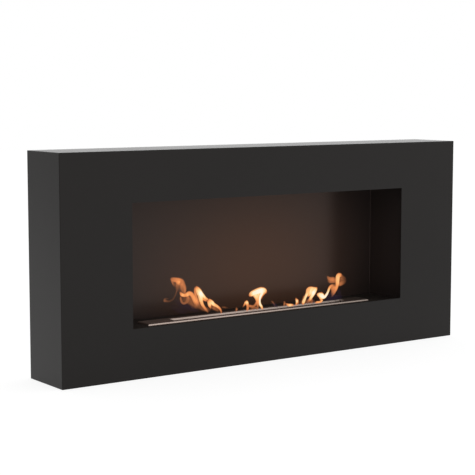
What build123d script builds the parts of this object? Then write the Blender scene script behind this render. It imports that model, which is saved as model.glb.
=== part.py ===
from build123d import *
import math
import os

# A wall-hung bioethanol fireplace: a shallow black steel casing with a wide opening, a folded
# firebox behind it, and a stainless burner that lifts out of the firebox floor.
# Millimetres. X runs along the width, Y from the front (-) to the wall (+), Z up from the base.
# The origin is the middle of the base.

os.makedirs("parts", exist_ok=True)

# ---- Casing: one folded and welded steel shell, front with opening, four sides, rear returns
casing_width = 900.0
casing_height = 400.0
casing_depth = 117.0
casing_sheet = 1.5
casing_edge_radius = 1.2
return_width = 12.0
opening_width = 620.0
opening_height = 220.0

# ---- Back cover, screwed on the rear returns, and the bumpers that keep it off the wall
cover_sheet = 1.0
cover_inset = 2.0
cover_screw_radius = 1.75
cover_screw_length = 8.0
cover_screw_head_radius = 3.4
cover_screw_head_height = 2.0
cover_screw_head_edge = 0.7
cover_screw_row_count = 5
vent_length = 60.0
vent_width = 6.0
vent_height_from_base = 40.0
base_vent_count = 6
vent_gap = 40.0
bumper_radius = 8.0
bumper_thickness = 3.0
bumper_edge = 0.7
bumper_inset = 26.0

# ---- Firebox: a wrap of left wall, back panel and right wall, closed by two folded pans
firebox_depth = 110.0
firebox_side_step = 14.0
ceiling_step = 14.0
floor_step = 4.3
liner_sheet = 1.2
liner_bend = 1.0
liner_flange = 18.0
corner_relief = 0.6

# ---- Weld studs behind the front plate, and their nuts
stud_radius = 2.0
stud_length = 9.0
stud_hole_radius = 2.2
nut_across_flats = 7.0
nut_height = 3.2
thread_gap = 0.1
side_stud_count = 3
pan_stud_count = 4
stud_end_inset = 40.0

# ---- Pop rivets of the firebox and of the hanger bar
rivet_radius = 2.0
rivet_head_radius = 3.5
rivet_head_height = 1.1
rivet_crown_share = 0.6
rivet_tail_radius = 3.0
rivet_tail_height = 1.0
rivet_hole_gap = 0.1
back_rivet_count = 4
liner_rivet_end_inset = 80.0
side_rivet_count = 2
liner_rivet_side_inset = 28.0

# ---- Ceramic fibre mat on the firebox ceiling
mat_thickness = 12.0
mat_edge_radius = 3.0
mat_gap = 2.0

# ---- Wall hanging: rail on the wall, hanger bar above the window in the back cover
hook_drop = 38.0
hanger_length = 500.0
hanger_sheet = 2.0
hanger_height = 24.0
hanger_flange = 12.0
hanger_bend = 2.0
hanger_rivet_height = 17.0
hanger_rivet_count = 4
hanger_rivet_end_inset = 25.0
hook_gap = 0.5
rail_length = 440.0
rail_sheet = 2.0
rail_bend = 0.5
rail_height = 26.0
rail_lip_height = 10.0
rail_hole_radius = 3.5
rail_hole_end_inset = 20.0
rail_inner_hole_spacing = 160.0
window_side_room = 10.0
window_room_below = 4.0

# ---- Burner: stainless top plate with slot, and the fuel tank welded below it
burner_depth_from_front = 55.0
burner_sheet = 1.2
burner_bend = 0.3
plate_end_margin = 62.5
plate_width = 40.0
lip_height = 2.6
lip_lean = 25.0
seat_overlap = 4.0
slot_width = 17.0
slot_rim_depth = 6.0
slot_rim_bend = 0.8
slot_rim_lean = 15.0
slot_end_room = 3.0
lug_bay = 15.0
tank_depth = 50.0
tank_sheet = 1.0
tank_bend = 2.0
tank_gap = 1.5
inner_gap = 0.3

# ---- Register: fixed channel and sliding strip, both with the same row of windows
window_count = 8
window_pitch = 48.0
window_closing_overlap = 1.0
window_edge_room = 1.0
channel_sheet = 1.0
channel_bend = 0.5
slide_sheet = 1.2
slide_end_overlap = 16.0
running_gap = 0.3

# ---- Lug of the slide: a folded angle riveted on, upright in the slot's right end
lug_length = 9.0
lug_sheet = 2.0
lug_bend = 0.5
lug_corner = 1.2
lug_rise = 1.0
lug_side_room = 0.6
lug_end_room = 2.0
lug_rivet_radius = 1.0
lug_rivet_head_radius = 1.7
lug_rivet_head_height = 0.7
lug_rivet_spacing = 4.5

# ---- Ceramic fibre block in the tank, and the perforated screen that holds it down
wool_height = 30.0
screen_sheet = 0.8
screen_bend = 1.0
screen_slot_length = 12.0
screen_slot_width = 5.0
screen_slot_pitch = 20.0
screen_end_room = 15.0

# ---- Spill tray under the firebox floor
tray_side_room = 8.0
tray_room_below = 5.0
tray_sheet = 1.0
tray_bend = 2.0
tray_flange = 10.0

# ---- Planes along Y, worked out from the front
overall_depth = casing_depth + cover_sheet + bumper_thickness
front_y = -overall_depth / 2
wall_y = overall_depth / 2
plate_back_y = front_y + casing_sheet
firebox_back_y = front_y + firebox_depth
return_y = front_y + casing_depth
cover_back_y = return_y + cover_sheet
burner_y = front_y + burner_depth_from_front

# ---- Heights and half widths of the firebox
opening_bottom_z = (casing_height - opening_height) / 2
opening_top_z = opening_bottom_z + opening_height
floor_z = opening_bottom_z - floor_step
ceiling_z = opening_top_z + ceiling_step
firebox_half_width = opening_width / 2 + firebox_side_step
liner_outer_radius = liner_bend + liner_sheet
pan_corner = liner_outer_radius + corner_relief
flange_middle = (liner_outer_radius + liner_flange) / 2
hook_z = casing_height - hook_drop

# ---- Burner sizes that follow from the register and the plate
flame_slot_length = window_count * window_pitch + 2 * slot_end_room
slot_length = flame_slot_length + lug_bay
slot_x = lug_bay / 2
slot_rim_step = slot_rim_depth * math.tan(math.radians(slot_rim_lean))
slot_foot_width = slot_width - 2 * slot_rim_step
plate_length = flame_slot_length + 2 * plate_end_margin
cutout_length = plate_length - 2 * seat_overlap
cutout_width = plate_width - 2 * seat_overlap
tank_length = cutout_length - 2 * tank_gap
tank_width = cutout_width - 2 * tank_gap
cutout_corner = tank_bend + tank_sheet + tank_gap
slide_travel = window_pitch / 2
window_length = window_pitch / 2 - window_closing_overlap
window_width = slot_width - 2 * window_edge_room
slide_length = slot_length + 2 * slide_end_overlap
channel_width = tank_width - 2 * tank_sheet - 2 * inner_gap
channel_length = slide_length + slide_travel + 2 * running_gap + 2 * channel_sheet
slide_width = channel_width - 2 * channel_sheet - 2 * running_gap
lug_foot = (slot_foot_width + lug_sheet) / 2 - lug_side_room
lug_x = slot_x + slot_length / 2 - lug_end_room - lug_length / 2

# ---- Burner heights, from the firebox floor up and down
plate_top_z = floor_z + lip_height
plate_under_z = plate_top_z - burner_sheet
slide_top_z = plate_top_z - slot_rim_depth - running_gap
slide_bottom_z = slide_top_z - slide_sheet
channel_bottom_z = slide_bottom_z - running_gap - channel_sheet
tank_bottom_z = plate_under_z - tank_depth
wool_bottom_z = tank_bottom_z + tank_sheet
wool_top_z = wool_bottom_z + wool_height
tray_top_z = floor_z - liner_sheet
tray_bottom_z = tank_bottom_z - tray_room_below - tray_sheet

ON_BASE = (Align.CENTER, Align.MIN, Align.MIN)
TOP_DOWN = (Align.CENTER, Align.CENTER, Align.MAX)
BOTTOM_UP = (Align.CENTER, Align.CENTER, Align.MIN)
SIDES = (-1, 1)


def spread(count, span):
    """Evenly spaced places centred on zero, the first and the last a span apart."""
    return [span * (index / (count - 1) - 0.5) for index in range(count)]


def folded_section(points, radii, sheet, side):
    """Section of a folded sheet: its one face follows the points, its thickness lies to a side."""
    face_line = FilletPolyline(*points, radius=radii)
    return make_face(face_line.offset_2d(sheet, side=side, closed=True))


def pan(length, width, height, sheet, bend):
    """A pan with its flat face on top at Z = 0 and its four walls down, corners welded."""
    shell = Box(length, width, height, align=TOP_DOWN)
    upper_edges = shell.edges().group_by(Axis.Z)[-1]
    shell = fillet(upper_edges + shell.edges().filter_by(Axis.Z), bend + sheet)
    hollow = Box(length - 2 * sheet, width - 2 * sheet, height, align=TOP_DOWN)
    hollow_upper_edges = hollow.edges().group_by(Axis.Z)[-1]
    hollow = fillet(hollow_upper_edges + hollow.edges().filter_by(Axis.Z), bend)
    return shell - Pos(0, 0, -sheet) * hollow


def leaning_block(length, width, height, lean):
    """A block on Z = 0 whose four sides lean inwards by the angle as they go up."""
    return extrude(Rectangle(length, width), amount=height, taper=lean)


def rivet(grip, head_radius, head_height, tail_radius, tail_height, radius):
    """A set rivet along +Z: head below Z = 0, shank through the grip, tail above it."""
    outline = Polyline(
        (0, -head_height),
        (head_radius * rivet_crown_share, -head_height),
        (head_radius, 0),
        (radius, 0),
        (radius, grip),
        (tail_radius, grip),
        (tail_radius * rivet_crown_share, grip + tail_height),
        (0, grip + tail_height),
        close=True,
    )
    return revolve(Plane.XZ * make_face(outline), Axis.Z)


def pop_rivet(grip):
    """The rivet used for the firebox and the hanger bar."""
    sizes = (rivet_head_radius, rivet_head_height, rivet_tail_radius, rivet_tail_height)
    return rivet(grip, *sizes, rivet_radius)


def drilled(part, planes, radius, depth):
    """The part with a round hole at each plane's origin, along its normal to both sides."""
    return part - [plane * Cylinder(radius, 2 * depth) for plane in planes]


def window_row(width):
    """Cutters for the row of register windows, centred on the flame slot."""
    cutter = Box(window_length, width, 4 * slide_sheet)
    places = spread(window_count, (window_count - 1) * window_pitch)
    return [Pos(x, 0, 0) * cutter for x in places]


# ---- Places of the fasteners
def stud_places():
    """X and Z of every weld stud: along both side flanges and along both pans' front flanges."""
    side_x = firebox_half_width + flange_middle
    side_span = ceiling_z - floor_z - 2 * stud_end_inset
    middle_z = (ceiling_z + floor_z) / 2
    side_heights = [middle_z + z for z in spread(side_stud_count, side_span)]
    beside = [(side * side_x, z) for side in SIDES for z in side_heights]
    pan_span = 2 * (firebox_half_width - stud_end_inset)
    pan_heights = (floor_z - flange_middle, ceiling_z + flange_middle)
    return beside + [(x, z) for z in pan_heights for x in spread(pan_stud_count, pan_span)]


def stud_planes():
    """A plane at each stud's foot on the back of the front plate, looking to the wall."""
    return [Plane(origin=(x, plate_back_y, z), z_dir=(0, 1, 0)) for x, z in stud_places()]


def liner_rivet_planes():
    """A plane at each liner rivet, on the wrap's outer face and looking into the firebox."""
    planes = []
    back_span = 2 * (firebox_half_width - liner_rivet_end_inset)
    side_span = firebox_depth - 2 * liner_rivet_side_inset
    outer_x = firebox_half_width + liner_sheet
    middle_y = front_y + firebox_depth / 2
    for z in (floor_z - flange_middle, ceiling_z + flange_middle):
        for x in spread(back_rivet_count, back_span):
            planes.append(Plane(origin=(x, firebox_back_y + liner_sheet, z), z_dir=(0, -1, 0)))
        for side in SIDES:
            for y in spread(side_rivet_count, side_span):
                planes.append(Plane(origin=(side * outer_x, middle_y + y, z), z_dir=(-side, 0, 0)))
    return planes


def cover_screw_planes():
    """A plane at each cover screw, on the cover's rear face and looking to the front."""
    edge_x = (casing_width - return_width) / 2 - casing_sheet / 2
    edge_z = (casing_height - return_width) / 2 - casing_sheet / 2
    along_width = spread(cover_screw_row_count, 2 * edge_x)
    places = [(x, side * edge_z) for side in SIDES for x in along_width]
    places += [(side * edge_x, 0) for side in SIDES]
    middle_z = casing_height / 2
    return [Plane(origin=(x, cover_back_y, middle_z + z), z_dir=(0, -1, 0)) for x, z in places]


def hanger_rivet_planes():
    """A plane at each hanger rivet, on the cover's rear face and looking to the front."""
    span = hanger_length - 2 * hanger_rivet_end_inset
    z = hook_z + hanger_rivet_height
    places = spread(hanger_rivet_count, span)
    return [Plane(origin=(x, cover_back_y, z), z_dir=(0, -1, 0)) for x in places]


def rail_hole_planes():
    """A plane at each hole of the wall rail, on the wall and looking to the front."""
    outer_spacing = rail_length - 2 * rail_hole_end_inset
    z = hook_z - (rail_height + rail_sheet) / 2
    places = spread(2, outer_spacing) + spread(2, rail_inner_hole_spacing)
    return [Plane(origin=(x, wall_y, z), z_dir=(0, -1, 0)) for x in places]


# ---- Casing pieces
def make_front_casing():
    """Rounded box, hollow from behind, with returns round its back and the opening in front."""
    shell = Pos(0, front_y, 0) * Box(casing_width, casing_depth, casing_height, align=ON_BASE)
    shell = fillet(shell.edges(), casing_edge_radius)
    inner_size = [size - 2 * casing_sheet for size in (casing_width, casing_depth, casing_height)]
    hollow = Pos(0, plate_back_y, casing_sheet) * Box(*inner_size, align=ON_BASE)
    mouth_size = [casing_width - 2 * return_width, casing_depth, casing_height - 2 * return_width]
    mouth = Pos(0, plate_back_y, return_width) * Box(*mouth_size, align=ON_BASE)
    opening_size = [opening_width, casing_depth, opening_height]
    opening = Pos(0, front_y - casing_sheet, opening_bottom_z) * Box(*opening_size, align=ON_BASE)
    casing = shell - hollow - mouth - opening
    return drilled(casing, cover_screw_planes(), cover_screw_radius + thread_gap, 3 * casing_sheet)


def make_casing_studs():
    """Plain studs welded by their foot; they pass through the liner flanges."""
    stud = Cylinder(stud_radius, stud_length, align=BOTTOM_UP)
    return [plane * stud for plane in stud_planes()]


def make_stud_nuts():
    """Hexagon nuts seated on the back of the liner flanges."""
    hexagon = RegularPolygon(nut_across_flats / 2, 6, major_radius=False)
    blank = Pos(0, 0, liner_sheet) * extrude(hexagon, amount=nut_height)
    nut = blank - Cylinder(stud_radius + thread_gap, 2 * stud_length)
    return [plane * nut for plane in stud_planes()]


def make_back_cover():
    """Flat sheet on the returns, with the hanging window, vents and screw holes."""
    width = casing_width - 2 * cover_inset
    height = casing_height - 2 * cover_inset
    cover = Pos(0, return_y, cover_inset) * Box(width, cover_sheet, height, align=ON_BASE)
    window_height = rail_height + window_room_below
    window_width_across = rail_length + 2 * window_side_room
    window_box = Box(window_width_across, 4 * cover_sheet, window_height, align=TOP_DOWN)
    cover -= Pos(0, return_y, hook_z) * window_box
    vent = extrude(Plane.XZ * SlotOverall(vent_length, vent_width), amount=2 * cover_sheet, both=True)
    base_span = (base_vent_count - 1) * (vent_length + vent_gap)
    cover -= [Pos(x, return_y, vent_height_from_base) * vent for x in spread(base_vent_count, base_span)]
    room_beside = (casing_width - window_width_across) / 2 - return_width
    upper_vent_count = int(room_beside // (vent_length + vent_gap))
    first_x = (window_width_across + vent_gap + vent_length) / 2
    upper_x = [first_x + step * (vent_length + vent_gap) for step in range(upper_vent_count)]
    upper_z = hook_z - window_height / 2
    cover -= [Pos(side * x, return_y, upper_z) * vent for side in SIDES for x in upper_x]
    cover = drilled(cover, cover_screw_planes(), cover_screw_radius + thread_gap, 3 * cover_sheet)
    return drilled(cover, hanger_rivet_planes(), rivet_radius + rivet_hole_gap, 3 * cover_sheet)


def make_cover_screws():
    """Pan-head screws through cover and returns, with a short point."""
    outline = Polyline(
        (0, -cover_screw_head_height),
        (cover_screw_head_radius - cover_screw_head_edge, -cover_screw_head_height),
        (cover_screw_head_radius, cover_screw_head_edge - cover_screw_head_height),
        (cover_screw_head_radius, 0),
        (cover_screw_radius, 0),
        (cover_screw_radius, cover_screw_length - cover_screw_radius),
        (0, cover_screw_length),
        close=True,
    )
    screw = revolve(Plane.XZ * make_face(outline), Axis.Z)
    return [plane * screw for plane in cover_screw_planes()]


def make_wall_bumpers():
    """Four rubber pads on the cover's rear corners; their faces lie on the wall."""
    pad = Cylinder(bumper_radius, bumper_thickness, align=BOTTOM_UP)
    pad = chamfer(pad.edges().group_by(Axis.Z)[-1], bumper_edge)
    across = casing_width - 2 * bumper_inset
    up = casing_height - 2 * bumper_inset
    corners = [(x, casing_height / 2 + z) for x in spread(2, across) for z in spread(2, up)]
    return [Plane(origin=(x, cover_back_y, z), z_dir=(0, 1, 0)) * pad for x, z in corners]


# ---- Wall hanging
def make_hanger_bar():
    """Angle on the cover's inner face; its lower edge carries the fireplace on the rail."""
    points = [
        (return_y, hook_z),
        (return_y, hook_z + hanger_height),
        (return_y - hanger_flange, hook_z + hanger_height),
    ]
    section = folded_section(points, hanger_bend + hanger_sheet, hanger_sheet, Side.LEFT)
    bar = extrude(Plane.YZ * section, amount=hanger_length / 2, both=True)
    return drilled(bar, hanger_rivet_planes(), rivet_radius + rivet_hole_gap, 3 * hanger_sheet)


def make_hanger_rivets():
    """Rivets through cover and hanger bar, heads behind."""
    return [plane * pop_rivet(cover_sheet + hanger_sheet) for plane in hanger_rivet_planes()]


def make_wall_rail():
    """Rail folded twice: flange on the wall, short leg forward, lip up in front of the bar."""
    lip_y = return_y - hanger_sheet - hook_gap
    points = [
        (wall_y, hook_z - rail_height),
        (wall_y, hook_z),
        (lip_y, hook_z),
        (lip_y, hook_z + rail_lip_height),
    ]
    radii = [rail_bend + rail_sheet, rail_bend]
    section = folded_section(points, radii, rail_sheet, Side.LEFT)
    rail = extrude(Plane.YZ * section, amount=rail_length / 2, both=True)
    return drilled(rail, rail_hole_planes(), rail_hole_radius, 2 * rail_sheet)


# ---- Firebox pieces
def make_firebox_wrap():
    """Left wall, back panel and right wall of one sheet, with flanges behind the front plate."""
    right = firebox_half_width
    flange_end = right + liner_flange
    points = [
        (flange_end, plate_back_y),
        (right, plate_back_y),
        (right, firebox_back_y),
        (-right, firebox_back_y),
        (-right, plate_back_y),
        (-flange_end, plate_back_y),
    ]
    radii = [liner_outer_radius, liner_bend, liner_bend, liner_outer_radius]
    section = folded_section(points, radii, liner_sheet, Side.RIGHT)
    height = ceiling_z - floor_z + 2 * liner_flange
    wrap = Pos(0, 0, floor_z - liner_flange) * extrude(section, amount=height)
    wrap = drilled(wrap, stud_planes(), stud_hole_radius, 3 * liner_sheet)
    return drilled(wrap, liner_rivet_planes(), rivet_radius + rivet_hole_gap, 4 * liner_sheet)


def make_liner_pan():
    """Flat pan at Z = 0 with four flanges down and a relief at each corner."""
    radius = liner_outer_radius
    along_y = [
        (plate_back_y, -liner_flange),
        (plate_back_y, 0),
        (firebox_back_y, 0),
        (firebox_back_y, -liner_flange),
    ]
    right = firebox_half_width
    along_x = [(-right, -liner_flange), (-right, 0), (right, 0), (right, -liner_flange)]
    front_and_rear = Plane.YZ * folded_section(along_y, radius, liner_sheet, Side.RIGHT)
    left_and_right = Plane.XZ * folded_section(along_x, radius, liner_sheet, Side.RIGHT)
    side_length = firebox_back_y - plate_back_y - 2 * pan_corner
    side_pass = Pos(0, firebox_back_y - pan_corner, 0) * extrude(left_and_right, amount=side_length)
    return extrude(front_and_rear, amount=right - pan_corner, both=True) + side_pass


def drilled_pan(part):
    """A placed pan with its stud and rivet holes."""
    part = drilled(part, stud_planes(), stud_hole_radius, 3 * liner_sheet)
    return drilled(part, liner_rivet_planes(), rivet_radius + rivet_hole_gap, 4 * liner_sheet)


def make_firebox_ceiling():
    """The pan turned over: flat face down, flanges up."""
    return drilled_pan(Pos(0, 0, ceiling_z) * mirror(make_liner_pan(), about=Plane.XY))


def make_firebox_floor():
    """The pan with the cut-out that the burner hangs in, its corners round like the tank's."""
    cutout = Box(cutout_length, cutout_width, 4 * liner_sheet)
    cutout = Pos(0, burner_y, 0) * fillet(cutout.edges().filter_by(Axis.Z), cutout_corner)
    return drilled_pan(Pos(0, 0, floor_z) * (make_liner_pan() - cutout))


def make_liner_rivets():
    """Rivets through wrap and pans, heads outside."""
    return [plane * pop_rivet(2 * liner_sheet) for plane in liner_rivet_planes()]


def make_ceiling_insulation():
    """Fibre mat lying on the ceiling, clear of the stud ends and the rivet tails."""
    front = plate_back_y + stud_length + mat_gap
    back = firebox_back_y - liner_sheet - rivet_tail_height - mat_gap
    half = firebox_half_width - liner_sheet - rivet_tail_height - mat_gap
    mat = Box(2 * half, back - front, mat_thickness, align=ON_BASE)
    mat = fillet(mat.edges().group_by(Axis.Z)[-1], mat_edge_radius)
    return Pos(0, front, ceiling_z + liner_sheet) * mat


def make_spill_tray():
    """Open tray round the tank with a flange, spot-welded under the floor."""
    inner_length = cutout_length + 2 * tray_side_room
    inner_width = cutout_width + 2 * tray_side_room
    length = inner_length + 2 * tray_sheet
    width = inner_width + 2 * tray_sheet
    depth = tray_top_z - tray_bottom_z
    walls = mirror(pan(length, width, depth, tray_sheet, tray_bend), about=Plane.XY)
    rim = Box(length + 2 * tray_flange, width + 2 * tray_flange, tray_sheet, align=TOP_DOWN)
    rim -= Box(length - tray_sheet, width - tray_sheet, 3 * tray_sheet)
    return Pos(0, burner_y, tray_bottom_z) * walls + Pos(0, burner_y, tray_top_z) * rim


# ---- Burner pieces
def make_burner_plate():
    """Folded top plate: its lip leans out to the floor, and the rim of its slot leans in."""
    lip_wall = burner_sheet / math.cos(math.radians(lip_lean))
    rim_wall = burner_sheet / math.cos(math.radians(slot_rim_lean))
    plate = leaning_block(plate_length, plate_width, lip_height, lip_lean)
    foot_edges, corner_edges, upper_edges = plate.edges().group_by(Axis.Z)
    plate = fillet(corner_edges + upper_edges, burner_bend + burner_sheet)
    hollow_size = [plate_length - 2 * lip_wall, plate_width - 2 * lip_wall]
    plate -= leaning_block(*hollow_size, lip_height - burner_sheet, lip_lean)
    rim_size = [slot_length + 2 * rim_wall, slot_width + 2 * rim_wall]
    rim = mirror(leaning_block(*rim_size, slot_rim_depth, slot_rim_lean), about=Plane.XY)
    slot = mirror(leaning_block(slot_length, slot_width, slot_rim_depth, slot_rim_lean), about=Plane.XY)
    plate = Pos(-slot_x, 0, -lip_height) * plate + rim - slot
    slot_edges = plate.faces().sort_by(Axis.Z)[-1].inner_wires()[0].edges()
    return Pos(slot_x, burner_y, plate_top_z) * fillet(slot_edges, slot_rim_bend)


def make_burner_tank():
    """Open fuel tank, welded by its upper edge to the underside of the plate."""
    walls = mirror(pan(tank_length, tank_width, tank_depth, tank_sheet, tank_bend), about=Plane.XY)
    return Pos(0, burner_y, tank_bottom_z) * walls


def make_register_channel():
    """Fixed channel under the slot: windows in its base, walls up to the plate, closed ends."""
    height = plate_under_z - channel_bottom_z
    walls = pan(channel_length, channel_width, height, channel_sheet, channel_bend)
    walls = mirror(walls, about=Plane.XY)
    channel = Pos(slot_x, 0, 0) * walls - window_row(window_width)
    return Pos(0, burner_y, channel_bottom_z) * channel


def make_wool_block():
    """Ceramic fibre block that fills the lower part of the tank."""
    length = tank_length - 2 * tank_sheet - 2 * inner_gap
    width = tank_width - 2 * tank_sheet - 2 * inner_gap
    block = Box(length, width, wool_height, align=BOTTOM_UP)
    block = fillet(block.edges().group_by(Axis.Z)[0] + block.edges().filter_by(Axis.Z), tank_bend)
    return Pos(0, burner_y, wool_bottom_z) * block


def make_wool_screen():
    """Slotted sheet on the wool, with end tabs up to the channel that hold it down."""
    half = slot_length / 2
    height = channel_bottom_z - inner_gap - wool_top_z
    points = [(-half, height), (-half, 0), (half, 0), (half, height)]
    section = folded_section(points, screen_bend + screen_sheet, screen_sheet, Side.LEFT)
    screen = extrude(Plane.XZ * section, amount=channel_width / 2, both=True)
    slot_span = slot_length - 2 * screen_end_room
    slot_count = round(slot_span / screen_slot_pitch)
    cutter = Box(screen_slot_length, screen_slot_width, 4 * screen_sheet)
    rows = spread(3, 2 * (screen_slot_width + 2 * screen_sheet))
    screen -= [Pos(x, y, 0) * cutter for y in rows for x in spread(slot_count, slot_span)]
    return Pos(slot_x, burner_y, wool_top_z) * screen


# ---- Regulator pieces, shown open: slide at the right end of its travel
def lug_rivet_places():
    """X and Y of the lug's two rivets, along the foot."""
    foot_y = burner_y + (lug_foot + lug_bend) / 2
    return [(lug_x + x, foot_y) for x in spread(2, lug_rivet_spacing)]


def lug_rivet_planes():
    """A plane at each lug rivet on top of the foot, looking down."""
    z = slide_top_z + lug_sheet
    return [Plane(origin=(x, y, z), z_dir=(0, 0, -1)) for x, y in lug_rivet_places()]


def make_regulator_slide():
    """Flat strip in the channel; its windows lie over the channel's when it is open."""
    strip = Pos(slot_x + slide_travel / 2, 0, 0) * Box(slide_length, slide_width, slide_sheet)
    strip = Pos(0, burner_y, slide_top_z - slide_sheet / 2) * (strip - window_row(window_width))
    return drilled(strip, lug_rivet_planes(), lug_rivet_radius + thread_gap, 3 * slide_sheet)


def make_regulator_lug():
    """Angle: upright in the middle of the slot, a little above the plate, foot on the slide."""
    front = -lug_sheet / 2
    points = [(front, plate_top_z + lug_rise - slide_top_z), (front, 0), (front + lug_foot, 0)]
    section = folded_section(points, lug_bend + lug_sheet, lug_sheet, Side.LEFT)
    lug = extrude(Plane.YZ * section, amount=lug_length / 2, both=True)
    lug = fillet(lug.edges().filter_by(Axis.Y).group_by(Axis.Z)[-1], lug_corner)
    lug = Pos(lug_x, burner_y, slide_top_z) * lug
    return drilled(lug, lug_rivet_planes(), lug_rivet_radius + thread_gap, 3 * lug_sheet)


def make_lug_rivets():
    """Two small rivets through foot and slide, flush below."""
    shank = Cylinder(lug_rivet_radius, lug_sheet + slide_sheet, align=BOTTOM_UP)
    head = Cylinder(lug_rivet_head_radius, lug_rivet_head_height, align=TOP_DOWN)
    return [plane * (shank + head) for plane in lug_rivet_planes()]


NODES = {
    "front_casing": make_front_casing,
    "casing_studs": make_casing_studs,
    "stud_nuts": make_stud_nuts,
    "back_cover": make_back_cover,
    "cover_screws": make_cover_screws,
    "wall_bumpers": make_wall_bumpers,
    "hanger_bar": make_hanger_bar,
    "hanger_rivets": make_hanger_rivets,
    "wall_rail": make_wall_rail,
    "firebox_wrap": make_firebox_wrap,
    "firebox_ceiling": make_firebox_ceiling,
    "firebox_floor": make_firebox_floor,
    "liner_rivets": make_liner_rivets,
    "ceiling_insulation": make_ceiling_insulation,
    "spill_tray": make_spill_tray,
    "burner_plate": make_burner_plate,
    "burner_tank": make_burner_tank,
    "register_channel": make_register_channel,
    "wool_block": make_wool_block,
    "wool_screen": make_wool_screen,
    "regulator_slide": make_regulator_slide,
    "regulator_lug": make_regulator_lug,
    "lug_rivets": make_lug_rivets,
}

for name, make in NODES.items():
    shape = make()
    if isinstance(shape, list):
        shape = Compound(children=shape)
    export_step(shape, f"parts/{name}.step")
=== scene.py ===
import math

import bpy
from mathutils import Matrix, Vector, kdtree


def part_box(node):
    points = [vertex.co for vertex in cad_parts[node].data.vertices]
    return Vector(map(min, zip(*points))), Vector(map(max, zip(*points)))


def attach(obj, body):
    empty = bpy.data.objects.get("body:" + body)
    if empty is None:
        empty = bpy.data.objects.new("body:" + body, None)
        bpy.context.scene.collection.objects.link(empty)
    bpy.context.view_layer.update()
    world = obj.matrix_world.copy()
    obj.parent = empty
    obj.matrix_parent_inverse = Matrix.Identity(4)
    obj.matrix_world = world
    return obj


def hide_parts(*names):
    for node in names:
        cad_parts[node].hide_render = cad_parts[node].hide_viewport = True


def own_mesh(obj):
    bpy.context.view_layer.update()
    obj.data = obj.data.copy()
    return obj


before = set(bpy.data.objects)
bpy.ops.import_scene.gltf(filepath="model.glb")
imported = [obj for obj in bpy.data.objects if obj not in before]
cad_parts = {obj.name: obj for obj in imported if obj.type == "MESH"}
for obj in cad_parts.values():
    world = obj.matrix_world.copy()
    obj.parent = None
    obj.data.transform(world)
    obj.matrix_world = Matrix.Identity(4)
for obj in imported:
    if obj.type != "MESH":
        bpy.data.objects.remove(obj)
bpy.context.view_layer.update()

# ---- View. The fireplace is seen from the left of its middle and from a little above, with a
# short telephoto lens, so that its left side, its top edge and the inside of the firebox show.
view_azimuth = math.radians(-35.329)
view_elevation = math.radians(6.187)
view_distance = 2.49943
sensor_width_mm = 36.0
focal_length_mm = 104.22
view_target = Vector((-0.088145, -0.0605, 0.236457))
view_back = Vector(
    (
        math.sin(view_azimuth) * math.cos(view_elevation),
        -math.cos(view_azimuth) * math.cos(view_elevation),
        math.sin(view_elevation),
    )
)
lens = bpy.data.cameras.new("view")
lens.sensor_width = sensor_width_mm
lens.lens = focal_length_mm
camera = bpy.data.objects.new("view", lens)
camera.location = view_target + view_back * view_distance
camera.rotation_euler = view_back.to_track_quat("Z", "Y").to_euler()
bpy.context.scene.collection.objects.link(camera)
bpy.context.scene.camera = camera
bpy.context.scene.view_settings.view_transform = "Standard"


# ---- Room. A pale floor in a white room, lit softly from all round, with one soft lamp above the
# left front corner. The camera sees both nearly white, with a faint shadow of the fireplace, and
# what the paint and the steel mirror of them is a little dimmer towards the left.
def plug(socket, value):
    """Links a signal to a socket, or writes a plain value on it."""
    if isinstance(value, Signal):
        socket.id_data.links.new(value.socket, socket)
    else:
        socket.default_value = value


class Signal:
    """A shader socket that arithmetic can be written with; each operator adds a Math node."""

    def __init__(self, socket):
        self.socket = socket

    def node(self, kind, settings, inputs, output=0):
        """Another node of the same material: its settings are made first, then its sockets."""
        made = self.socket.id_data.nodes.new("ShaderNode" + kind)
        for name, value in settings.items():
            if name == "stops":
                for place, _ in value[1:-1]:
                    made.color_ramp.elements.new(place)
                for stop, (place, colour) in zip(made.color_ramp.elements, value):
                    stop.position = place
                    stop.color = (*colour, 1.0)
            else:
                setattr(made, name, value)
        for name, value in inputs.items():
            plug(made.inputs[name], value)
        return Signal(made.outputs[output])

    def math(self, operation, first, second=0.0):
        return self.node("Math", {"operation": operation}, {0: first, 1: second})

    def __add__(self, other):
        return self.math("ADD", self, other)

    __radd__ = __add__

    def __sub__(self, other):
        return self.math("SUBTRACT", self, other)

    def __rsub__(self, other):
        return self.math("SUBTRACT", other, self)

    def __mul__(self, other):
        return self.math("MULTIPLY", self, other)

    __rmul__ = __mul__

    def __pow__(self, other):
        return self.math("POWER", self, other)


def seeing_rays(nodes):
    """Signals of what the camera sees itself, and of that with what it sees in a mirror or glass."""
    rays = nodes.new("ShaderNodeLightPath").outputs
    direct = Signal(rays["Is Camera Ray"])
    glossy = Signal(rays["Is Glossy Ray"])
    clear = Signal(rays["Is Transmission Ray"])
    return direct, direct.math("MAXIMUM", direct, glossy.math("MAXIMUM", glossy, clear))


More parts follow.
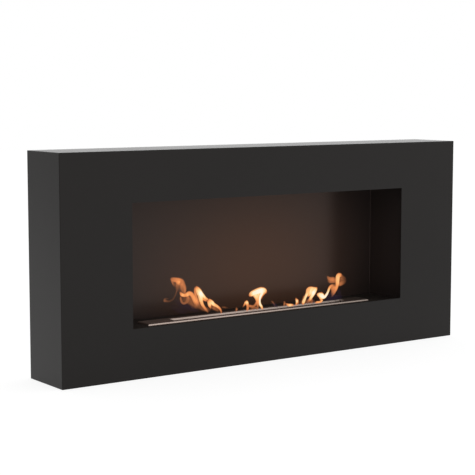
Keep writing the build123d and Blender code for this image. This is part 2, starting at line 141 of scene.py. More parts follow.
white = (1.0, 1.0, 1.0, 1.0)
floor_side = 16.0
floor_albedo = 0.8
floor_roughness = 0.9
white_share = 0.82
floor_middle = 0.95
floor_slope = 0.16
floor_dimmest = 0.4
shadow_share = 0.30
bpy.ops.object.select_all(action="DESELECT")
bpy.ops.mesh.primitive_plane_add(size=floor_side)
floor = bpy.context.object
floor.name = "floor"
floor_finish = bpy.data.materials.new("pale_floor")
floor_finish.use_nodes = True
floor_nodes = floor_finish.node_tree.nodes
floor_shader = floor_nodes["Principled BSDF"]
floor_shader.inputs["Base Color"].default_value = (floor_albedo,) * 3 + (1.0,)
floor_shader.inputs["Roughness"].default_value = floor_roughness
floor_shader.inputs["Specular IOR Level"].default_value = 0.0
floor_direct, floor_seen = seeing_rays(floor_nodes)
floor_place = floor_seen.node("TexCoord", {}, {}, "Object")
floor_rightness = floor_place.node("SeparateXYZ", {}, {"Vector": floor_place}, "X")
mirrored = floor_direct.math("MINIMUM", floor_middle + floor_rightness * floor_slope, 1.0)
mirrored = floor_direct.math("MAXIMUM", mirrored, floor_dimmest)
floor_strength = white_share * (floor_direct + (1.0 - floor_direct) * mirrored)
floor_glow = floor_seen.node("Emission", {}, {"Color": white, "Strength": floor_strength})
pale = floor_seen.node("BsdfDiffuse", {}, {"Color": (shadow_share,) * 3 + (1.0,)})
near_white = floor_seen.node("AddShader", {}, {0: floor_glow, 1: pale})
plain = Signal(floor_shader.outputs["BSDF"])
floor_look = floor_seen.node("MixShader", {}, {0: floor_seen, 1: plain, 2: near_white})
plug(floor_nodes["Material Output"].inputs["Surface"], floor_look)
floor.data.materials.append(floor_finish)

room_light = 0.92
room_middle = 0.80
room_slope = 0.38
world = bpy.data.worlds.new("white_room")
world.use_nodes = True
bpy.context.scene.world = world
room_nodes = world.node_tree.nodes
room_direct, room_seen = seeing_rays(room_nodes)
way = Signal(room_nodes.new("ShaderNodeTexCoord").outputs["Generated"])
room_rightness = way.node("SeparateXYZ", {}, {"Vector": way}, "X")
shade = (1.0 - room_middle - room_rightness * room_slope) * (1.0 - room_direct)
room_strength = (room_light + room_seen * (1.0 - room_light)) * (1.0 - shade)
room_nodes["Background"].inputs["Color"].default_value = white
plug(room_nodes["Background"].inputs["Strength"], room_strength)

lamp_side = 2.2
lamp_power = 7.0
lamp_place = Vector((-1.9, -2.1, 2.3))
lamp = bpy.data.lights.new("soft_lamp", "AREA")
lamp.size = lamp_side
lamp.energy = lamp_power
lamp_holder = bpy.data.objects.new("soft_lamp", lamp)
lamp_holder.location = lamp_place
lamp_holder.rotation_euler = (lamp_place - view_target).to_track_quat("Z", "Y").to_euler()
bpy.context.scene.collection.objects.link(lamp_holder)


# ---- Front casing. A shell of 1.5 mm sheet steel, folded and welded, with a frame-like front.
# It is finished in a fine matt black powder coat, whose skin is a little uneven like orange peel.
mm = 0.001


def new_finish(name):
    """A new material, and the signal of the place on the piece in metres."""
    material = bpy.data.materials.new(name)
    material.use_nodes = True
    coordinates = material.node_tree.nodes.new("ShaderNodeTexCoord")
    return material, Signal(coordinates.outputs["Object"])


def feed_shader(material, inputs):
    """Feeds the sockets of the material's own shader."""
    shader = material.node_tree.nodes["Principled BSDF"]
    for name, value in inputs.items():
        plug(shader.inputs[name], value)


def grain(place, size, detail=2.0):
    """Noise from 0 to 1 whose grains are about this many metres across."""
    inputs = {"Vector": place, "Scale": 1.0 / size, "Detail": detail}
    return place.node("TexNoise", {}, inputs, "Fac")


def tinted(factor, first, second):
    """The first colour where the factor is 0 and the second where it is 1."""
    inputs = {0: factor, 6: (*first, 1.0), 7: (*second, 1.0)}
    return factor.node("Mix", {"data_type": "RGBA"}, inputs, 2)


def relief(height, depth):
    """The surface's normal, for a relief of that depth in metres."""
    return height.node("Bump", {}, {"Height": height, "Distance": depth}, "Normal")


def dress(names, material):
    """Gives the named pieces of the frame their finish."""
    for name in names:
        for material_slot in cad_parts[name].material_slots:
            material_slot.material = material


casing_paint, place = new_finish("casing_powder_coat")
peel = grain(place, size=1.2 * mm, detail=3.0)
cloud = grain(place, size=150 * mm)
feed_shader(
    casing_paint,
    {
        "Base Color": tinted(cloud, (0.0164, 0.0145, 0.0134), (0.0190, 0.0169, 0.0157)),
        "Roughness": 0.22 + cloud * 0.06,
        "IOR": 1.262,
        "Normal": relief(peel, depth=0.03 * mm),
    },
)
dress(["front_casing"], casing_paint)

# ---- Back cover, hanger bar, wall rail, spill tray, studs and nuts. Zinc-plated sheet and bar, left
# bare: the spangle is a patchwork of crystals a few millimetres across that differ in shine.
zinc, place = new_finish("zinc_plate")
crystals_per_metre = 110.0
crystal = place.node("TexVoronoi", {}, {"Vector": place, "Scale": crystals_per_metre}, "Color")
crystal = crystal.node("SeparateColor", {}, {"Color": crystal}, "Red")
cloud = grain(place, size=200 * mm)
feed_shader(
    zinc,
    {
        "Base Color": tinted(crystal, (0.44, 0.45, 0.46), (0.56, 0.57, 0.58)),
        "Metallic": 1.0,
        "Roughness": 0.36 + crystal * 0.12 + cloud * 0.08,
    },
)
dress(["back_cover", "hanger_bar", "wall_rail", "spill_tray", "casing_studs", "stud_nuts"], zinc)

# ---- Cover screws. Pan-head screws of black oxide steel with a cross recess, driven through the
# back cover into the returns of the casing. One is modelled and copied to its twelve places.
screw_low, screw_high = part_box("cover_screws")
head_radius = 3.4 * mm
head_height = 2.0 * mm
head_edge = 0.7 * mm
head_edge_steps = 4
head_sides = 28
shank_radius = 1.75 * mm
tip_radius = 0.2 * shank_radius
shank_sides = 20
recess_length = 3.6 * mm
recess_width = 0.9 * mm
recess_depth = 1.1 * mm
head_seat_y = screw_high.y - head_height
shank_length = head_seat_y - screw_low.y
rim_reach = 0.1 * mm
crease_angle = math.radians(35.0)


def box_piece(centre, size):
    """A box as a mesh piece, its size already in the mesh and nothing else selected."""
    bpy.ops.object.select_all(action="DESELECT")
    bpy.ops.mesh.primitive_cube_add(size=1.0, location=centre, scale=size)
    bpy.ops.object.transform_apply(location=True, rotation=True, scale=True)
    return bpy.context.object


def joined(pieces, name):
    """The pieces as one object with that name."""
    bpy.ops.object.select_all(action="DESELECT")
    for piece in pieces:
        piece.select_set(True)
    bpy.context.view_layer.objects.active = pieces[0]
    if len(pieces) > 1:
        bpy.ops.object.join()
    bpy.context.object.name = name
    return bpy.context.object


def apply_modifier(piece, kind, **settings):
    """Adds a modifier with these settings and applies it."""
    bpy.context.view_layer.objects.active = piece
    modifier = piece.modifiers.new(kind.lower(), kind)
    for name, value in settings.items():
        setattr(modifier, name, value)
    bpy.ops.object.modifier_apply(modifier=modifier.name)


def cut_out(piece, cutters):
    """Takes the cutters away from the piece and deletes them."""
    for cutter in cutters:
        apply_modifier(piece, "BOOLEAN", operation="DIFFERENCE", solver="EXACT", object=cutter)
        bpy.data.objects.remove(cutter)


def turned_piece(add, place, **sizes):
    """A round piece with its axis from front to back, its size already in the mesh."""
    bpy.ops.object.select_all(action="DESELECT")
    add(location=place, rotation=(math.radians(90.0), 0.0, 0.0), **sizes)
    bpy.ops.object.transform_apply(location=True, rotation=True, scale=True)
    return bpy.context.object


def screw_at(x, z):
    """One screw with its head behind the cover: a turned head, a cross recess and a pointed shank."""
    head = turned_piece(
        bpy.ops.mesh.primitive_cylinder_add,
        (x, head_seat_y + head_height / 2, z),
        vertices=head_sides,
        radius=head_radius,
        depth=head_height,
    )
    bpy.ops.object.mode_set(mode="EDIT")
    bpy.ops.mesh.select_mode(type="EDGE")
    bpy.ops.mesh.select_all(action="DESELECT")
    bpy.ops.object.mode_set(mode="OBJECT")
    for edge in head.data.edges:
        ends = [head.data.vertices[index].co for index in edge.vertices]
        edge.select = all(end.y > screw_high.y - rim_reach for end in ends)
    bpy.ops.object.mode_set(mode="EDIT")
    bpy.ops.mesh.bevel(offset=head_edge, segments=head_edge_steps)
    bpy.ops.object.mode_set(mode="OBJECT")
    cross = (x, screw_high.y, z)
    across = box_piece(cross, (recess_length, 2 * recess_depth, recess_width))
    upright = box_piece(cross, (recess_width, 2 * recess_depth, recess_length))
    cut_out(head, [across, upright])
    point = turned_piece(
        bpy.ops.mesh.primitive_cone_add,
        (x, screw_low.y + shank_radius, z),
        vertices=shank_sides,
        radius1=shank_radius,
        radius2=tip_radius,
        depth=2 * shank_radius,
    )
    shank = turned_piece(
        bpy.ops.mesh.primitive_cylinder_add,
        (x, (screw_low.y + 2 * shank_radius + head_seat_y) / 2, z),
        vertices=shank_sides,
        radius=shank_radius,
        depth=shank_length - 2 * shank_radius,
    )
    return joined([head, point, shank], "cover_screw")


black_oxide, place = new_finish("black_oxide")
worn = grain(place, size=0.9 * mm)
feed_shader(
    black_oxide,
    {
        "Base Color": tinted(worn, (0.018, 0.018, 0.019), (0.05, 0.05, 0.052)),
        "Metallic": 0.6,
        "Roughness": 0.38 + worn * 0.2,
    },
)
row_count = 5
row_low = screw_low.x + head_radius
row_high = screw_high.x - head_radius
row_step = (row_high - row_low) / (row_count - 1)
lower_z = screw_low.z + head_radius
upper_z = screw_high.z - head_radius
screw_places = []
for z in (lower_z, upper_z):
    screw_places += [(row_low + row_step * index, z) for index in range(row_count)]
screw_places += [(x, (lower_z + upper_z) / 2) for x in (row_low, row_high)]
screws = joined([screw_at(x, z) for x, z in screw_places], "cover_screw_set")
bpy.ops.object.shade_smooth_by_angle(angle=crease_angle)
screws.data.materials.append(black_oxide)
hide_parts("cover_screws")
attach(screws, "root")


# ---- Rivets. Blind rivets of plain aluminium hold the firebox sheets and the hanger bar together;
# their heads are matt with fine scratches from the setting tool.
def streaks(place, per_metre, detail):
    """Noise from 0 to 1 with this many grains in a metre along each axis, so that it runs in lines."""
    stretched = place.node("Mapping", {}, {"Vector": place, "Scale": per_metre}, "Vector")
    return place.node("TexNoise", {}, {"Vector": stretched, "Scale": 1.0, "Detail": detail}, "Fac")


aluminium, place = new_finish("plain_aluminium")
scratch = streaks(place, per_metre=(2500.0, 300.0, 2500.0), detail=2.0)
feed_shader(
    aluminium,
    {
        "Base Color": tinted(scratch, (0.60, 0.60, 0.61), (0.74, 0.74, 0.75)),
        "Metallic": 1.0,
        "Roughness": 0.3 + scratch * 0.2,
    },
)
dress(["hanger_rivets", "liner_rivets"], aluminium)

# ---- Wall bumpers. Four moulded rubber pads glued on the back cover's corners, dull black with a
# grey bloom of dust and a fine pitted skin.
rubber, place = new_finish("bumper_rubber")
pit = grain(place, size=0.6 * mm, detail=3.0)
dust = grain(place, size=6 * mm)
feed_shader(
    rubber,
    {
        "Base Color": tinted(dust, (0.018, 0.018, 0.018), (0.045, 0.044, 0.042)),
        "Roughness": 0.7 + dust * 0.2,
        "Normal": relief(pit, depth=0.08 * mm),
    },
)
dress(["wall_bumpers"], rubber)

# ---- Firebox wrap and ceiling. One wrapped sheet and a folded pan in satin black heat-resistant
# paint. The back panel is browned by soot behind the flames, and the flames' light is painted on it
# as a brown glow, widest just above them.
firebox_paint, place = new_finish("firebox_heat_paint")
# Painted glow: the flames' light on the back panel is painted into its colour as a brown patch, mixed
# with soot.
painted_glow_centre = (0.040, 0.0495, 0.165)
painted_glow_reach = (0.212, 0.120, 0.177)
from_centre = place.node("VectorMath", {"operation": "SUBTRACT"}, {0: place, 1: painted_glow_centre})
share = from_centre.node("VectorMath", {"operation": "DIVIDE"}, {0: from_centre, 1: painted_glow_reach})
squared = share.node("VectorMath", {"operation": "DOT_PRODUCT"}, {0: share, 1: share}, "Value")
painted_glow = squared.math("EXPONENT", squared * -1.0)
cloud = grain(place, size=90 * mm)
fleck = grain(place, size=0.8 * mm)
uneven_painted_glow = painted_glow * (0.97 + cloud * 0.06)
paint_black = (0.0310, 0.0266, 0.0260)
soot_and_glow_brown = (0.0835, 0.0400, 0.0240)
feed_shader(
    firebox_paint,
    {
        "Base Color": tinted(uneven_painted_glow, paint_black, soot_and_glow_brown),
        "Roughness": 0.21 + cloud * 0.05,
        "IOR": 1.335,
        "Specular Tint": (1.0, 0.76, 0.66, 1.0),
        "Normal": relief(fleck, depth=0.01 * mm),
    },
)
dress(["firebox_wrap", "firebox_ceiling"], firebox_paint)

# ---- Firebox floor. The same sheet and paint, but dulled by spilt fuel and wiping, so that it
# mirrors the burner's lip only weakly.
floor_paint, place = new_finish("firebox_floor_paint")
wiped = streaks(place, per_metre=(12.0, 90.0, 90.0), detail=3.0)
feed_shader(
    floor_paint,
    {
        "Base Color": tinted(wiped, (0.024, 0.0188, 0.0160), (0.034, 0.0265, 0.0225)),
        "Roughness": 0.52 + wiped * 0.14,
        "IOR": 1.25,
    },
)
dress(["firebox_floor"], floor_paint)


# ---- Ceramic fibre. A white needled mat lies on the firebox ceiling against the heat, and a block
# of the same felt soaks up the fuel in the tank. Both are soft, with a lumpy face and worn edges.
def felt_block(name, node, body, cell, lumps):
    """A padded block in the node's box: a grid of cells, rounded edges and a lumpy displaced skin."""
    low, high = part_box(node)
    size = [high[axis] - low[axis] - 2 * lumps for axis in range(3)]
    block = box_piece((low + high) / 2, size)
    block.name = name
    for axis in range(3):
        count = max(round(size[axis] / cell), 2)
        normal = [1.0 if index == axis else 0.0 for index in range(3)]
        for step in range(1, count):
            spot = [(low[index] + high[index]) / 2 for index in range(3)]
            spot[axis] += size[axis] * (step / count - 0.5)
            bpy.ops.object.mode_set(mode="EDIT")
            bpy.ops.mesh.select_all(action="SELECT")
            bpy.ops.mesh.bisect(plane_co=spot, plane_no=normal)
            bpy.ops.object.mode_set(mode="OBJECT")
    apply_modifier(block, "SUBSURF", levels=1, render_levels=1)
    wadding = bpy.data.textures.new(name + "_wadding", "CLOUDS")
    wadding.noise_scale = 2 * cell
    wadding.noise_depth = 3
    skin = {"texture": wadding, "texture_coords": "LOCAL", "strength": 2 * lumps, "mid_level": 0.5}
    apply_modifier(block, "DISPLACE", **skin)
    bpy.ops.object.select_all(action="DESELECT")
    block.select_set(True)
    bpy.context.view_layer.objects.active = block
    bpy.ops.object.shade_smooth()
    block.data.materials.append(ceramic_felt)
    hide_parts(node)
    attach(block, body)


ceramic_felt, place = new_finish("ceramic_felt")
strand = streaks(place, per_metre=(300.0, 900.0, 1400.0), detail=5.0)
tuft = grain(place, size=12 * mm, detail=3.0)
feed_shader(
    ceramic_felt,
    {
        "Base Color": tinted(tuft, (0.74, 0.72, 0.67), (0.86, 0.85, 0.81)),
        "Roughness": 0.86 + strand * 0.12,
        "Normal": relief(strand + tuft, depth=0.6 * mm),
    },
)
felt_block("fibre_mat", "ceiling_insulation", "root", cell=8 * mm, lumps=0.8 * mm)
felt_block("fibre_block", "wool_block", "burner", cell=5 * mm, lumps=0.25 * mm)

# ---- Burner and regulator. Plate, tank, register and slide are stainless sheet, brushed along their
# length. Use has left the steel a little warm and stained, and a painted reflection makes it lighter
# towards its left end.
stainless, place = new_finish("brushed_stainless")
brush = streaks(place, per_metre=(12.0, 2500.0, 2500.0), detail=3.0)
stain = grain(place, size=50 * mm, detail=3.0)
painted_reflection_end_x = 115 * mm
painted_reflection_fade_per_metre = 6.5
painted_reflection_share = 0.65
brush_share = 0.2
stain_share = 0.15
# Painted reflection: the steel is lighter up to x = -39 mm, and fades to its plain colour at x = 115
# mm.
rightness = place.node("SeparateXYZ", {}, {"Vector": place}, "X")
bright = place.math("MAXIMUM", (painted_reflection_end_x - rightness) * painted_reflection_fade_per_metre, 0.0)
bright = place.math("MINIMUM", bright, 1.0)
reflection_brush_and_stain = bright * painted_reflection_share + brush * brush_share + stain * stain_share
feed_shader(
    stainless,
    {
        "Base Color": tinted(reflection_brush_and_stain, (0.350, 0.288, 0.250), (0.60, 0.480, 0.420)),
        "Metallic": 1.0,
        "Roughness": 0.32 + brush * 0.12 + stain * 0.06,
        "Normal": relief(brush, depth=0.01 * mm),
    },
)
dress(["burner_plate", "burner_tank", "register_channel", "wool_screen"], stainless)
dress(["regulator_slide", "regulator_lug", "lug_rivets"], stainless)

# ---- Flames. Burning alcohol vapour rises through the slot in ragged groups of thin tongues,
# pale yellow where they are hot and thick, orange and clear at their edges. Closing the register
# smothers them.
plate_low, plate_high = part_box("burner_plate")
slot_y = (plate_low.y + plate_high.y) / 2
flame_foot = plate_high.z - 0.5 * mm
flame_grid = 0.6 * mm
flatness = 0.3
edge_share = 0.65
tip_share = 0.5
melting = 6.0
hottest = 1.2
flicker_low = 0.92
flicker_span = 0.16


def tongue(route):
    """A round tube with tapering ends along a route of (x, height, radius, heat) in millimetres.

    Returns it with the centre, radius and heat of each of its rings.
    """
    bpy.ops.object.select_all(action="DESELECT")
    bpy.ops.curve.primitive_nurbs_path_add()
    tube = bpy.context.object
    curve = tube.data
    curve.splines.clear()
    spline = curve.splines.new("NURBS")
    tips = []
    for end, inner in ((route[0], route[1]), (route[-1], route[-2])):
        away = Vector((end[0] - inner[0], end[1] - inner[1])).normalized() * end[2] * tip_share
        tips.append((end[0] + away.x, end[1] + away.y, end[2] * tip_share, end[3] * tip_share))
    stops = [tips[0], *route, tips[1]]
    spline.points.add(len(stops) - 1)
    for point, (x, z, radius, _) in zip(spline.points, stops):
        point.co = (x * mm, 0.0, z * mm, 1.0)
        point.radius = radius
    spline.order_u = 3
    spline.use_endpoint_u = True
    spline.resolution_u = 10
    curve.bevel_depth = mm
    curve.bevel_resolution = 3
    curve.use_fill_caps = True
    bpy.ops.object.convert(target="MESH")
    mesh = tube.data
    members = {}
    for face in mesh.polygons:
        if len(face.vertices) == 4:
            for corner in face.loop_indices:
                along = round(mesh.uv_layers[0].data[corner].uv[0], 4)
                members.setdefault(along, set()).add(mesh.loops[corner].vertex_index)
    rings = []
    for along, ring in members.items():
        places = [mesh.vertices[index].co for index in ring]
        centre = sum(places, Vector()) / len(places)
        step = along * (len(stops) - 1)
        index = min(int(step), len(stops) - 2)
        cooler, hotter = stops[index][3], stops[index + 1][3]
        rings.append((centre, (places[0] - centre).length, cooler + (hotter - cooler) * (step - index)))
    return tube, rings


def tree_of(rings):
    """A search tree of the rings' centres."""
    tree = kdtree.KDTree(len(rings))
    for index, (centre, _, _) in enumerate(rings):
        tree.insert(centre, index)
    tree.balance()
    return tree


def burning_piece(name, routes, material):
    """Tongues melted into one flat soft-edged body, whose skin knows how brightly each place glows."""
    tubes, all_rings = zip(*[tongue(route) for route in routes])
    body = joined(tubes, name)
    body.data.remesh_voxel_size = flame_grid
    bpy.ops.object.voxel_remesh()
    apply_modifier(body, "SMOOTH", factor=0.5, iterations=3)
    searches = [(tree_of(rings), rings) for rings in all_rings]
    glows = []
    for vertex in body.data.vertices:
        strength = 0.0
        for tree, rings in searches:
            _, index, distance = tree.find((vertex.co.x, 0.0, vertex.co.z))
            _, radius, heat = rings[index]
            inside = min(max((1.0 - distance / radius) / edge_share, 0.0), 1.0)
            eased = inside * inside * (3.0 - 2.0 * inside)
            strength += (heat * eased) ** melting
        glows.append(strength ** (1.0 / melting))
        vertex.co.y = slot_y + vertex.co.y * flatness
        vertex.co.z = max(vertex.co.z, flame_foot)
    body.data.attributes.new("glow", "FLOAT", "POINT").data.foreach_set("value", glows)
    bpy.ops.object.shade_smooth()
    body.data.materials.append(material)
    # The sheets in the photograph don't mirror the flames.
    body.visible_glossy = False
    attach(body, "burner")
    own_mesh(body)


def burning_gas(name, stops, cover, softness):
    """Clear glowing gas: its colour follows its glow, and where it glows little it is clear."""
    gas, place = new_finish(name)
    glow = place.node("Attribute", {"attribute_name": "glow"}, {}, "Fac")
    lick = streaks(place, per_metre=(260.0, 260.0, 90.0), detail=1.0)
    glow = glow * (flicker_low + lick * flicker_span)
    warmth = glow * (1.0 / hottest)
    feed_shader(
        gas,
        {
            "Base Color": (0.0, 0.0, 0.0, 1.0),
            "Roughness": 1.0,
            "Specular IOR Level": 0.0,
            "Emission Color": glow.node("ValToRGB", {"stops": stops}, {"Fac": warmth}, "Color"),
            "Emission Strength": 1.0,
            "Alpha": glow.math("MINIMUM", glow**softness * cover, 1.0),
        },
    )
    return gas


flame_stops = [
    (0.0, (0.55, 0.19, 0.08)),
    (0.29, (0.75, 0.25, 0.09)),
    (0.42, (0.90, 0.29, 0.10)),
    (0.52, (1.0, 0.345, 0.11)),
    (0.63, (1.0, 0.53, 0.20)),
    (0.75, (1.0, 0.75, 0.36)),
    (0.87, (1.0, 0.88, 0.60)),
    (1.0, (1.0, 0.95, 0.82)),
]
flame = burning_gas("flame", flame_stops, cover=2.26, softness=2.43)
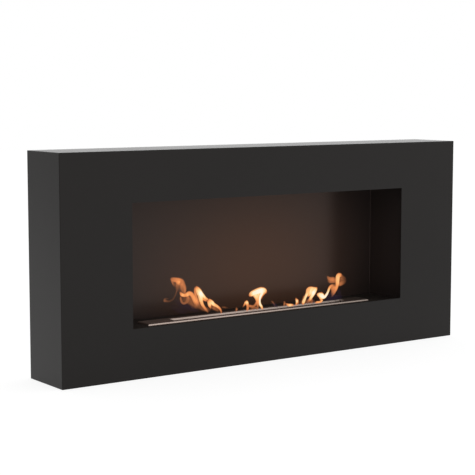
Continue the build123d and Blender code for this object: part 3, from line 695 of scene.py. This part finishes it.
# Each point is (x, height, radius, heat). The points, and those of the hazes, were chosen by eye on
# the photograph, in its pixels. Another program turned them into millimetres, and some were then
# corrected by hand.
flame_routes = {
    "flame_left_high": [
        [(-196, 163, 4.5, 0.46), (-191, 161, 7, 0.5), (-186, 160, 7, 0.54), (-180, 159, 7, 0.56),
         (-173, 157, 6.5, 0.48), (-170, 151, 5.5, 0.45), (-167, 144, 5, 0.48), (-167, 137, 4, 0.46),
         (-169, 132, 3, 0.4)],
        [(-196, 163, 3, 0.42), (-194, 157, 3, 0.42), (-191, 151, 2.5, 0.33), (-190, 148, 1.5, 0.2)],
        [(-183, 159, 4.5, 0.55), (-181, 155, 6, 0.66), (-178, 151, 4.5, 0.5)],
        [(-183, 154, 3.5, 0.45), (-183, 147, 2.5, 0.33), (-185, 138, 2, 0.25),
         (-189, 129, 2, 0.21), (-194, 124, 2.5, 0.19), (-202, 122, 3, 0.2), (-209, 124, 3.5, 0.27),
         (-212, 124, 3.5, 0.33)],
        [(-212, 126, 3, 0.3), (-208, 128, 2.5, 0.22), (-202, 127, 2, 0.15)],
        [(-174, 154, 5.5, 0.5), (-174, 146, 5.5, 0.43), (-172, 139, 4.5, 0.38),
         (-171, 134, 3, 0.3)],
        [(-190, 158, 7, 0.24), (-184, 152, 9, 0.28), (-180, 144, 8, 0.25), (-178, 137, 6, 0.14)],
    ],
    "flame_left_arch": [
        [(-177, 137, 2.5, 0.55), (-174, 132, 5, 0.72), (-168, 130, 4.5, 0.62), (-162, 131, 6, 0.7),
         (-157, 134, 6, 0.63), (-151, 130, 6.5, 0.62), (-147, 123, 6, 0.63), (-143, 116, 6, 0.64),
         (-141, 110, 4.5, 0.5), (-144, 105, 3, 0.34)],
        [(-176, 129, 2.5, 0.4), (-176, 123, 3, 0.38), (-173, 117, 3.5, 0.38),
         (-168, 115, 3.5, 0.38), (-162, 118, 3.5, 0.4), (-160, 123, 3.5, 0.43), (-160, 129, 3.5, 0.52)],
        [(-155, 126, 5.5, 0.34), (-154, 119, 6, 0.29), (-151, 111, 5.5, 0.25),
         (-150, 105, 4, 0.18)],
        [(-172, 124, 7, 0.26), (-161, 121, 9, 0.3), (-149, 114, 9.5, 0.32), (-138, 106, 8.5, 0.28)],
    ],
    "flame_left_bright": [
        [(-141, 143, 4.5, 0.68), (-139, 139, 7, 0.88), (-135, 133, 8, 1.08), (-132, 126, 7, 0.98),
         (-132, 119, 6, 0.84), (-130, 113, 4.5, 0.74), (-126, 106, 3.5, 0.66), (-120, 99, 3, 0.55),
         (-116, 94, 2, 0.38)],
        [(-135, 135, 5, 1.05), (-129, 128, 5, 1), (-124, 123, 4, 0.86), (-120, 120, 3, 0.72),
         (-116, 118, 2.5, 0.62)],
        [(-144, 143, 3, 0.5), (-145, 136, 3.5, 0.54), (-143, 128, 4, 0.54), (-141, 120, 4.5, 0.56),
         (-138, 114, 4, 0.54), (-135, 108, 3, 0.38)],
        [(-128, 121, 5, 0.66), (-124, 119, 4, 0.6), (-119, 116, 3, 0.56)],
        [(-133, 108, 4, 0.26), (-127, 100, 4, 0.2)],
        [(-138, 110, 8, 0.28), (-126, 102, 7, 0.31), (-114, 98, 6, 0.28)],
    ],
    "flame_left_low": [
        [(-114, 118, 3, 0.6), (-112, 116, 4.5, 0.78), (-108, 112, 6, 0.94), (-104, 108, 5, 0.84),
         (-98, 105, 4, 0.74), (-92, 101, 3.5, 0.66), (-88, 97, 3, 0.58), (-86, 92, 2.5, 0.5),
         (-86, 87, 2.5, 0.36)],
        [(-116, 116, 3.5, 0.66), (-113, 111, 5, 0.84), (-112, 106, 4.5, 0.74), (-110, 102, 3, 0.5),
         (-110, 99, 1.5, 0.3)],
        [(-106, 103, 5.5, 0.4), (-98, 99, 6, 0.33), (-92, 95, 4.5, 0.3)],
    ],
    "flame_streak": [
        [(-85, 101, 2, 0.26), (-78, 100, 2.5, 0.3), (-71, 98, 2, 0.16)],
    ],
    "flame_spark_left": [
        [(-52, 97, 2, 0.34), (-51, 94, 3.5, 0.44), (-52, 91, 3, 0.36), (-53, 87, 2.5, 0.2)],
    ],
    "flame_middle_peak": [
        [(-28, 108, 2.5, 0.66), (-28, 106, 4.5, 0.92), (-26, 100, 4.5, 0.6), (-25, 96, 4, 0.54),
         (-26, 91, 4, 0.54), (-28, 87, 3, 0.4)],
        [(-30, 106, 3, 0.8), (-32, 102, 3, 0.6), (-35, 99, 2.5, 0.45), (-37, 96, 1.5, 0.28)],
        [(-23, 98, 3.5, 0.5), (-17, 96, 4, 0.45), (-12, 95, 4, 0.44), (-7, 99, 3.5, 0.46),
         (-4, 104, 3.5, 0.52)],
        [(-20, 89, 3.5, 0.32), (-13, 92, 3.5, 0.32), (-5, 93, 3.5, 0.38), (-2, 87, 2, 0.28)],
    ],
    "flame_middle_crown": [
        [(-20, 118, 5.5, 0.8), (-16, 120, 7, 1.05), (-10, 122, 7, 1.12), (-1, 124, 8, 1.15),
         (7, 125, 8.5, 1.15), (14, 124, 7, 0.95), (17, 120, 4.5, 0.68)],
        [(8, 122, 7, 1.1), (5, 117, 5.5, 1.12), (2, 110, 3.5, 1.12), (2, 104, 3, 1.1),
         (3, 98, 3.5, 1.06), (6, 95, 3.5, 0.98), (9, 89, 3, 0.72)],
        [(-2, 122, 6, 0.95), (-1, 115, 4, 0.8), (-1, 107, 3, 0.62), (0, 99, 3, 0.55)],
        [(15, 122, 4.5, 0.68), (11, 118, 4.5, 0.64), (7, 114, 3.5, 0.6), (5, 108, 2.5, 0.55)],
        [(-10, 119, 6.5, 0.95), (-6, 114, 6, 0.82), (-3, 108, 5.5, 0.66), (-2, 101, 4.5, 0.58),
         (-2, 96, 4, 0.48), (-2, 87, 3, 0.32)],
    ],
    "flame_blue_spark": [
        [(30, 102, 2.5, 0.24), (33, 100, 3, 0.3), (37, 96, 2.5, 0.26), (40, 89, 1.5, 0.14)],
    ],
    "flame_right_ripple": [
        [(61, 99, 2, 0.34), (62, 95, 3.5, 0.44), (61, 91, 3.5, 0.38), (60, 87, 2.5, 0.25)],
        [(65, 94, 2.5, 0.45), (70, 91, 3.5, 0.72), (74, 90, 4, 0.88), (80, 90, 3.5, 0.72),
         (86, 87, 2.5, 0.4)],
        [(89, 103, 2, 0.4), (91, 99, 3.5, 0.86), (92, 96, 3, 0.98), (91, 92, 3, 0.7),
         (89, 87, 2.5, 0.45)],
        [(94, 99, 2.5, 0.55), (95, 95, 2.5, 0.5), (94, 87, 2, 0.38)],
    ],
    "flame_right_fork": [
        [(140, 118, 4, 0.74), (137, 115, 6, 0.95), (132, 110, 7.5, 1.08), (129, 105, 6, 1.02),
         (126, 100, 4.5, 0.86), (123, 96, 3.5, 0.68), (119, 93, 2.5, 0.5), (117, 87, 1.5, 0.3)],
        [(133, 117, 5.5, 0.82), (125, 118, 6.5, 0.74), (119, 116, 6.5, 0.72),
         (118, 111, 5, 0.8), (115, 106, 4, 0.92), (112, 101, 3.5, 0.94), (109, 96, 3.5, 0.9),
         (107, 91, 3.5, 0.82), (107, 87, 2.5, 0.5)],
        [(128, 116, 7, 0.84), (125, 112, 7, 0.95), (123, 108, 5.5, 0.86), (119, 104, 3, 0.7)],
        [(122, 118, 6, 0.7), (130, 117, 5.5, 0.72), (138, 117, 4.5, 0.78)],
        [(132, 113, 6, 1), (129, 107, 5, 1)],
        [(128, 98, 3, 0.5), (128, 93, 2.5, 0.42), (128, 87, 2.5, 0.36)],
        [(110, 105, 3.5, 0.4), (107, 99, 3, 0.38), (105, 94, 2.5, 0.3)],
        [(98, 93, 5, 0.22), (110, 94, 6.5, 0.28), (124, 93, 6.5, 0.28), (136, 91, 5, 0.22)],
    ],
    "flame_right_kite": [
        [(143, 105, 3.5, 0.85), (147, 104, 6.5, 1), (152, 102, 8, 1.06), (155, 100, 7, 1.06),
         (155, 97, 4, 0.9)],
        [(153, 106, 5, 0.75), (153, 103, 7, 0.9), (152, 98, 6, 1), (151, 95, 4, 0.8)],
        [(153, 98, 4.5, 1.1), (159, 98, 4.5, 1.16), (164, 101, 3.5, 1.16), (168, 106, 3, 1.08),
         (170, 110, 3, 0.92), (172, 115, 3.5, 0.72), (176, 119, 4, 0.62), (182, 120, 4, 0.54)],
        [(154, 94, 3.5, 0.76), (153, 91, 3.5, 0.66), (148, 89, 3, 0.68), (141, 90, 3.5, 0.68),
         (136, 87, 2.5, 0.46)],
    ],
    "flame_right_high": [
        [(202, 138, 5.5, 0.62), (197, 139, 7, 0.72), (194, 137, 6.5, 0.78), (193, 131, 6.5, 0.77),
         (193, 124, 6, 0.72), (192, 118, 5, 0.66), (189, 111, 4.5, 0.62), (185, 105, 3.5, 0.56),
         (181, 100, 2.5, 0.42), (178, 97, 1.5, 0.25)],
        [(167, 139, 2.5, 0.36), (171, 134, 5.5, 0.44), (177, 132, 7, 0.46), (185, 132, 7, 0.47)],
        [(172, 130, 7.5, 0.42), (179, 129, 8, 0.42), (187, 129, 7.5, 0.46)],
        [(200, 134, 7, 0.38), (208, 132, 7, 0.29), (213, 128, 5.5, 0.22)],
        [(214, 126, 4, 0.24), (208, 124, 7, 0.34), (202, 122, 7, 0.44), (196, 120, 6, 0.47)],
        [(198, 130, 6.5, 0.36), (206, 128, 7, 0.31), (211, 126, 5, 0.24)],
        [(185, 118, 7, 0.58), (183, 112, 7, 0.54), (181, 106, 5.5, 0.45), (179, 101, 4, 0.3)],
        [(178, 116, 4, 0.52), (177, 111, 3.5, 0.38)],
    ],
}
for name, routes in flame_routes.items():
    burning_piece(name, routes, flame)

# ---- Hazes. Thin gas beside and under the tongues that burns a faint blue and violet, and brown
# where it is hotter. It is made as the flames are.
haze_stops = [
    (0.0, (0.040, 0.026, 0.062)),
    (0.38, (0.050, 0.032, 0.075)),
    (0.6, (0.18, 0.08, 0.05)),
    (1.0, (0.50, 0.19, 0.08)),
]
haze = burning_gas("flame_haze", haze_stops, cover=0.32, softness=1.0)
haze_routes = {
    "haze_left": [
        [(-186, 123, 5.5, 0.12), (-181, 117, 7, 0.18), (-171, 111, 8.5, 0.26),
         (-160, 108, 8, 0.26), (-149, 104, 7, 0.24), (-140, 99, 5, 0.18)],
        [(-195, 113, 4.5, 0.1), (-188, 108, 6.5, 0.14), (-178, 103, 7, 0.16), (-165, 101, 7, 0.16)],
    ],
    "haze_spark": [
        [(34, 97, 3, 0.4), (40, 93, 4, 0.5), (46, 87, 3.5, 0.35)],
    ],
    "haze_fork": [
        [(122, 105, 3, 0.5), (120, 99, 4, 0.52), (119, 89, 3.5, 0.45)],
        [(131, 96, 3.5, 0.4), (131, 87, 3, 0.35)],
    ],
    "haze_right": [
        [(186, 109, 6.5, 0.7), (183, 103, 6.5, 0.6), (179, 97, 6, 0.44)],
        [(164, 94, 4.5, 0.35), (176, 94, 7, 0.42), (190, 96, 7, 0.42), (202, 95, 6.5, 0.3)],
        [(195, 111, 4.5, 0.2), (197, 106, 5.5, 0.28), (199, 100, 5, 0.28)],
        [(163, 97, 3, 0.35), (169, 100, 4, 0.4), (174, 104, 4, 0.45)],
    ],
}
for name, routes in haze_routes.items():
    burning_piece(name, routes, haze)
